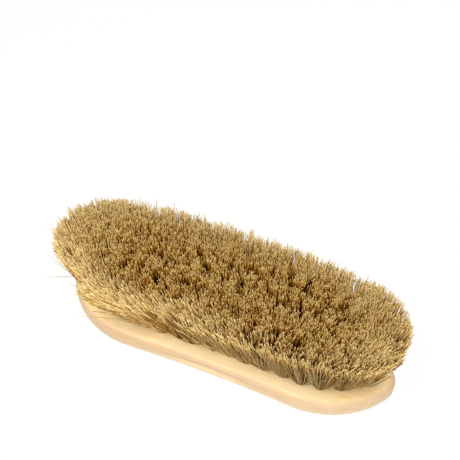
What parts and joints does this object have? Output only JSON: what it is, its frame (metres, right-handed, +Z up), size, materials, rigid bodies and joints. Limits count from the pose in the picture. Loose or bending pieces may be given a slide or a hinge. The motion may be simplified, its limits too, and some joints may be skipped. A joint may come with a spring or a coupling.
{
  "type": "dandy brush",
  "caption": "Dandy brush for grooming: waisted wooden stock with finger grooves, filled with tufts of stiff natural fibre that fan out and are trimmed level.",
  "frame": {"origin": "centre of the stock's flat back, which the brush lies on, under the middle of the bristle field", "axes": "+X along the brush, +Y across it away from the near finger groove, +Z up from the flat back through the bristle tips"},
  "size_m": [0.2078, 0.0702, 0.0574],
  "materials": {
    "lacquered_wood": "pale straight-grained hardwood under a thin satin lacquer, corners rounded",
    "natural_fibre": "stiff natural fibre, tan with paler cut tips and darker roots, slightly glossy",
    "anchor_wire": "plain flat steel wire, hidden in the holes"
  },
  "bodies": {
    "root": {"stock": "lacquered_wood", "anchor_row_01": "anchor_wire", "anchor_row_02": "anchor_wire", "anchor_row_03": "anchor_wire", "anchor_row_04": "anchor_wire", "anchor_row_05": "anchor_wire", "anchor_row_06": "anchor_wire", "anchor_row_07": "anchor_wire", "anchor_row_08": "anchor_wire", "anchor_row_09": "anchor_wire", "anchor_row_10": "anchor_wire", "anchor_row_11": "anchor_wire", "anchor_row_12": "anchor_wire", "anchor_row_13": "anchor_wire", "anchor_row_14": "anchor_wire", "anchor_row_15": "anchor_wire", "anchor_row_16": "anchor_wire", "anchor_row_17": "anchor_wire", "tuft_row_01": "natural_fibre", "tuft_row_02": "natural_fibre", "tuft_row_03": "natural_fibre", "tuft_row_04": "natural_fibre", "tuft_row_05": "natural_fibre", "tuft_row_06": "natural_fibre", "tuft_row_07": "natural_fibre", "tuft_row_08": "natural_fibre", "tuft_row_09": "natural_fibre", "tuft_row_10": "natural_fibre", "tuft_row_11": "natural_fibre", "tuft_row_12": "natural_fibre", "tuft_row_13": "natural_fibre", "tuft_row_14": "natural_fibre", "tuft_row_15": "natural_fibre", "tuft_row_16": "natural_fibre", "tuft_row_17": "natural_fibre"}
  },
  "joints": []
}
